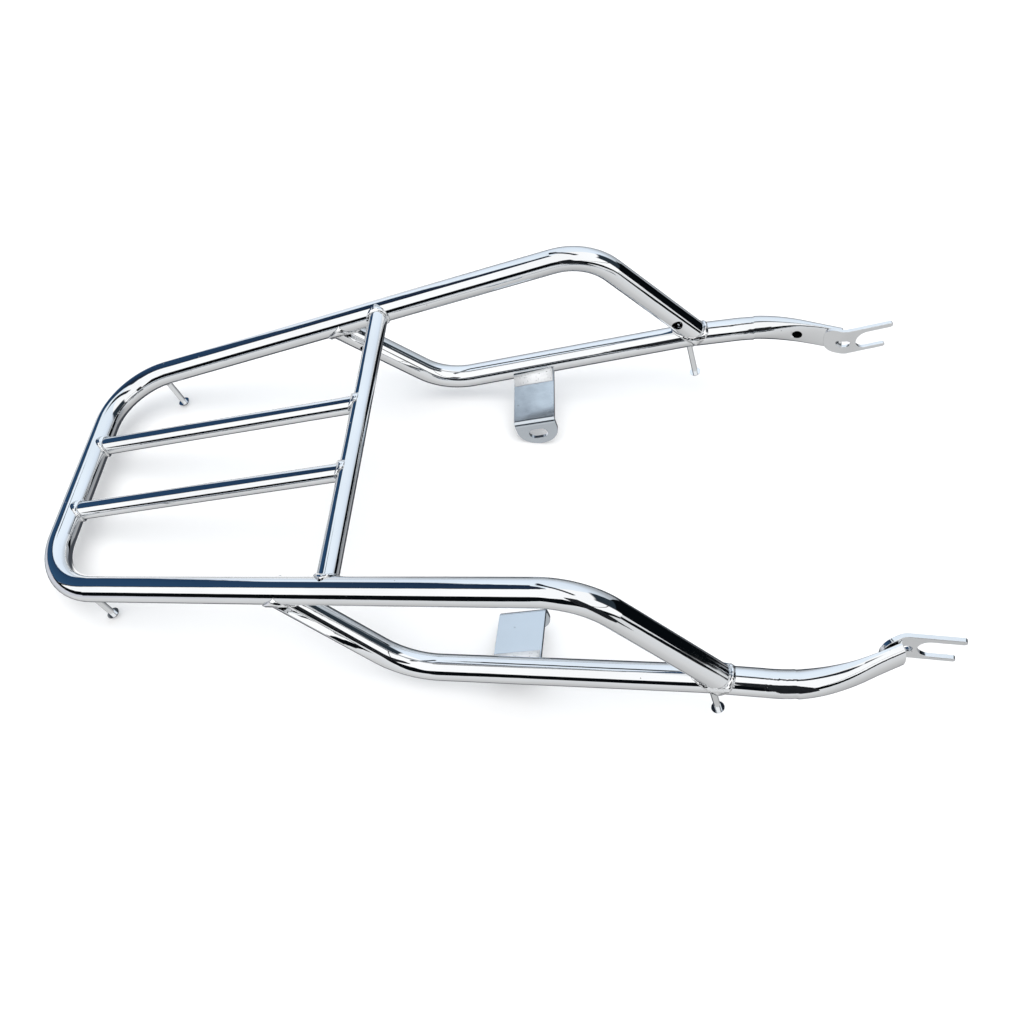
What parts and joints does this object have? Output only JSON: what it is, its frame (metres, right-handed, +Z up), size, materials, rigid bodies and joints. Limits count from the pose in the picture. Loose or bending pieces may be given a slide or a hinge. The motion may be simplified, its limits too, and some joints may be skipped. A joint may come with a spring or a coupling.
{
  "type": "motorcycle luggage rack",
  "caption": "Chromed tube luggage rack for a motorcycle: bent upper loop with deck bars, side rails, strap brackets, strap pegs and forked front mounting ends.",
  "frame": {"origin": "middle of the deck's top plane, half way between rear bar and cross bar", "axes": "+X forward towards the fork ends, +Y to the left side, +Z up off the deck"},
  "size_m": [0.6322, 0.3458, 0.1684],
  "materials": {
    "chrome": "polished chrome plate on bent and pressed steel tube",
    "weld": "chrome plate over a ground weld bead, slightly rough"
  },
  "bodies": {
    "root": {"upper_loop": "chrome", "cross_bar": "chrome", "deck_bar_left": "chrome", "deck_bar_right": "chrome", "side_rail_left": "chrome", "side_rail_right": "chrome", "fork_plate_left": "chrome", "fork_plate_right": "chrome", "bracket_left": "chrome", "bracket_right": "chrome", "peg_rear_left": "chrome", "peg_rear_right": "chrome", "peg_front_left": "chrome", "peg_front_right": "chrome", "weld_cross_bar_left": "weld", "weld_cross_bar_right": "weld", "weld_deck_bar_rear_left": "weld", "weld_deck_bar_rear_right": "weld", "weld_deck_bar_front_left": "weld", "weld_deck_bar_front_right": "weld", "weld_riser_left": "weld", "weld_riser_right": "weld", "weld_descender_left": "weld", "weld_descender_right": "weld", "weld_peg_rear_left": "weld", "weld_peg_rear_right": "weld", "weld_peg_front_left": "weld", "weld_peg_front_right": "weld", "weld_bracket_left": "weld", "weld_bracket_right": "weld", "weld_fork_left": "weld", "weld_fork_right": "weld"}
  },
  "joints": []
}
